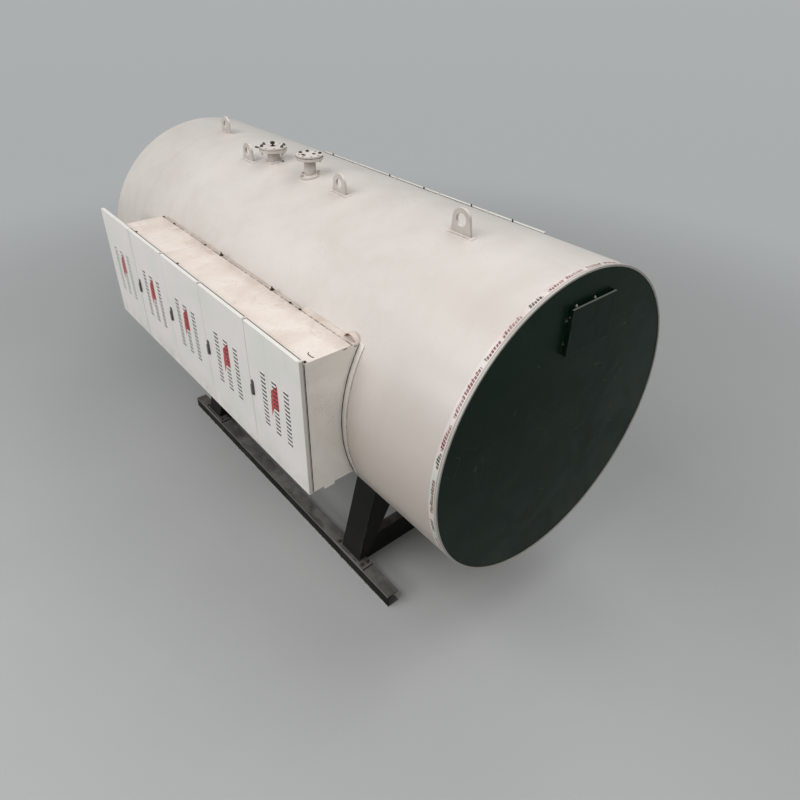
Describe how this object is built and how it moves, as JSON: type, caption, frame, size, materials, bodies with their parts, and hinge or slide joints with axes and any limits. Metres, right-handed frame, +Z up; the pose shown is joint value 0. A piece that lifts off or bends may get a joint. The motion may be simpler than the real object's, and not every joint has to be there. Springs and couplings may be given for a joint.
{
  "type": "industrial boiler",
  "caption": "Horizontal electric steam boiler: clad shell on a steel skid, hinged terminal cabinets on both flanks, lifting lugs and flanged nozzles on top",
  "frame": {"origin": "on the floor, under the middle of the whole boiler", "axes": "+X out of the front end plate along the shell, +Y towards the right flank, +Z up; the pictured flank faces -Y"},
  "size_m": [4.243, 2.41, 2.6316],
  "materials": {
    "cream_paint": "semi-gloss enamel on sheet steel",
    "panel_paint": "smooth powder coat",
    "end_plate_paint": "dark green semi-gloss enamel",
    "skid_steel": "dark primer on rolled steel",
    "handle_black": "satin black"
  },
  "bodies": {
    "boiler": {"shell_front": "cream_paint", "shell_rear": "cream_paint", "end_plate_front": "end_plate_paint", "end_plate_rear": "end_plate_paint", "nameplate_bracket": "end_plate_paint", "lifting_lug_1": "cream_paint", "lifting_lug_2": "cream_paint", "lifting_lug_3": "cream_paint", "lifting_lug_4": "cream_paint", "nozzle_1": "cream_paint", "nozzle_2": "cream_paint", "left_beam": "skid_steel", "right_beam": "skid_steel", "front_cross_member": "skid_steel", "rear_cross_member": "skid_steel", "front_left_leg": "skid_steel", "front_right_leg": "skid_steel", "rear_left_leg": "skid_steel", "rear_right_leg": "skid_steel", "left_cabinet_top": "cream_paint", "left_cabinet_floor": "cream_paint", "left_cabinet_front_end": "cream_paint", "left_cabinet_rear_end": "cream_paint", "left_cabinet_frame": "cream_paint", "left_end_panel": "panel_paint", "right_cabinet_top": "cream_paint", "right_cabinet_floor": "cream_paint", "right_cabinet_front_end": "cream_paint", "right_cabinet_rear_end": "cream_paint", "right_cabinet_frame": "cream_paint", "right_end_panel": "panel_paint"},
    "left_door_1": {"left_door_1": "panel_paint", "left_handle_1": "handle_black"},
    "left_door_2": {"left_door_2": "panel_paint", "left_handle_2": "handle_black"},
    "left_door_3": {"left_door_3": "panel_paint", "left_handle_3": "handle_black"},
    "left_door_4": {"left_door_4": "panel_paint", "left_handle_4": "handle_black"},
    "right_door_1": {"right_door_1": "panel_paint", "right_handle_1": "handle_black"},
    "right_door_2": {"right_door_2": "panel_paint", "right_handle_2": "handle_black"},
    "right_door_3": {"right_door_3": "panel_paint", "right_handle_3": "handle_black"},
    "right_door_4": {"right_door_4": "panel_paint", "right_handle_4": "handle_black"}
  },
  "joints": [
    {"name": "left_door_1_hinge", "type": "hinge", "parent": "boiler", "child": "left_door_1", "pos_m": [1.3155, -1.185, 1.608], "axis": [0, 0, 1], "range_deg": [0, 90]},
    {"name": "left_door_2_hinge", "type": "hinge", "parent": "boiler", "child": "left_door_2", "pos_m": [0.7415, -1.185, 1.608], "axis": [0, 0, 1], "range_deg": [0, 90]},
    {"name": "left_door_3_hinge", "type": "hinge", "parent": "boiler", "child": "left_door_3", "pos_m": [0.1675, -1.185, 1.608], "axis": [0, 0, 1], "range_deg": [0, 90]},
    {"name": "left_door_4_hinge", "type": "hinge", "parent": "boiler", "child": "left_door_4", "pos_m": [-0.4065, -1.185, 1.608], "axis": [0, 0, 1], "range_deg": [0, 90]},
    {"name": "right_door_1_hinge", "type": "hinge", "parent": "boiler", "child": "right_door_1", "pos_m": [-1.9155, 1.185, 1.608], "axis": [0, 0, 1], "range_deg": [0, 90]},
    {"name": "right_door_2_hinge", "type": "hinge", "parent": "boiler", "child": "right_door_2", "pos_m": [-1.3415, 1.185, 1.608], "axis": [0, 0, 1], "range_deg": [0, 90]},
    {"name": "right_door_3_hinge", "type": "hinge", "parent": "boiler", "child": "right_door_3", "pos_m": [-0.7675, 1.185, 1.608], "axis": [0, 0, 1], "range_deg": [0, 90]},
    {"name": "right_door_4_hinge", "type": "hinge", "parent": "boiler", "child": "right_door_4", "pos_m": [-0.1935, 1.185, 1.608], "axis": [0, 0, 1], "range_deg": [0, 90]}
  ]
}
